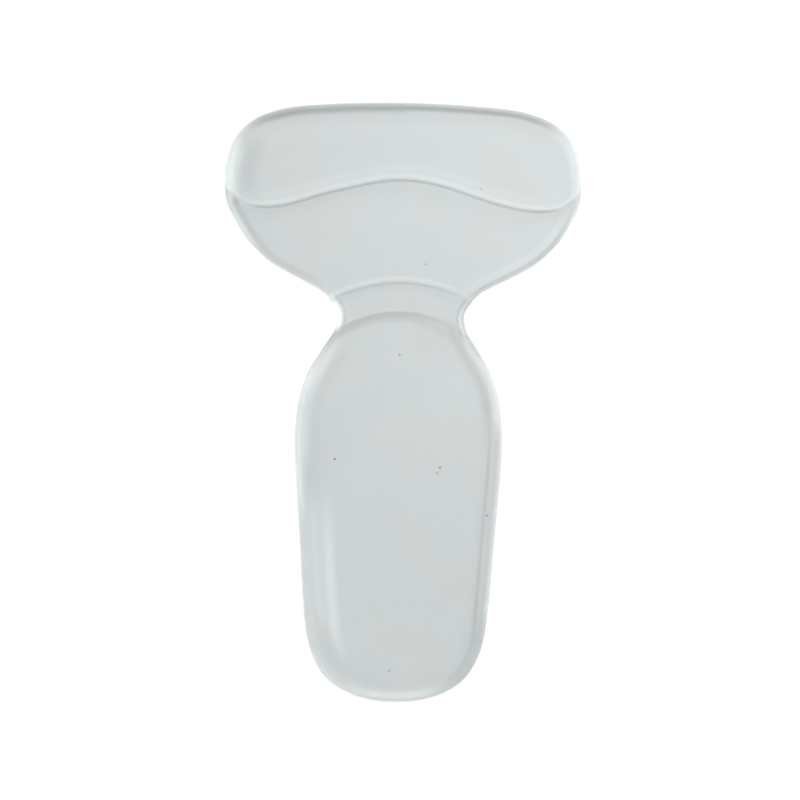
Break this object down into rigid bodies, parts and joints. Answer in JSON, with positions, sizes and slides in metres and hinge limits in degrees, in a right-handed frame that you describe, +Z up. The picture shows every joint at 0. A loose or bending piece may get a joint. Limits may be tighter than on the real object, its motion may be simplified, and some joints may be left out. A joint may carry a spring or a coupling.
{
  "type": "gel heel insole",
  "caption": "Clear T-shaped gel liner for a shoe's heel: a rounded heel pad, a thin neck that bends, and a wide head with a raised grip band that lies up the heel counter.",
  "frame": {"origin": "middle of the insole's length and width, on its flat underside", "axes": "+Y along the length, from the heel pad to the wide head; +X across; +Z up, from the flat underside to the worn side"},
  "size_m": [0.0714, 0.12, 0.005],
  "materials": {
    "clear_gel": "clear cast gel with a pale grey-green tint and a smooth wet gloss"
  },
  "bodies": {
    "root": {"gel_insole": "clear_gel"}
  },
  "joints": []
}
